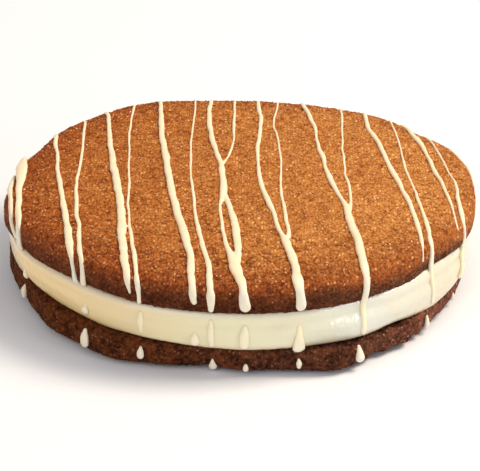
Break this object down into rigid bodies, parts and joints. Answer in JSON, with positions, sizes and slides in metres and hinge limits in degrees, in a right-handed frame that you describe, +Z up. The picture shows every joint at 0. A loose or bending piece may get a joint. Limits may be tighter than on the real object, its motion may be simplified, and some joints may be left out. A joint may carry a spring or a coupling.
{
  "type": "gingerbread sandwich cookie",
  "caption": "Round gingerbread biscuits with a thick layer of pale cream between them, resting flat. The icing drizzle is made in the visual model.",
  "frame": {"origin": "middle of the underside of the lower biscuit, on the surface that the cookie rests on", "axes": "+Z up through the layers, +X to the right of the side shown, -Y towards the side shown"},
  "size_m": [0.0834, 0.084, 0.0177],
  "materials": {
    "upper_crust": "matte, sugary gingerbread crust, browner at the edge",
    "lower_crust": "matte, dark gingerbread crust",
    "cream": "smooth pale cream with a soft gloss",
    "icing": "set pale icing with a soft gloss"
  },
  "bodies": {
    "root": {"bottom_biscuit": "lower_crust", "cream_filling": "cream", "top_biscuit": "upper_crust"}
  },
  "joints": []
}
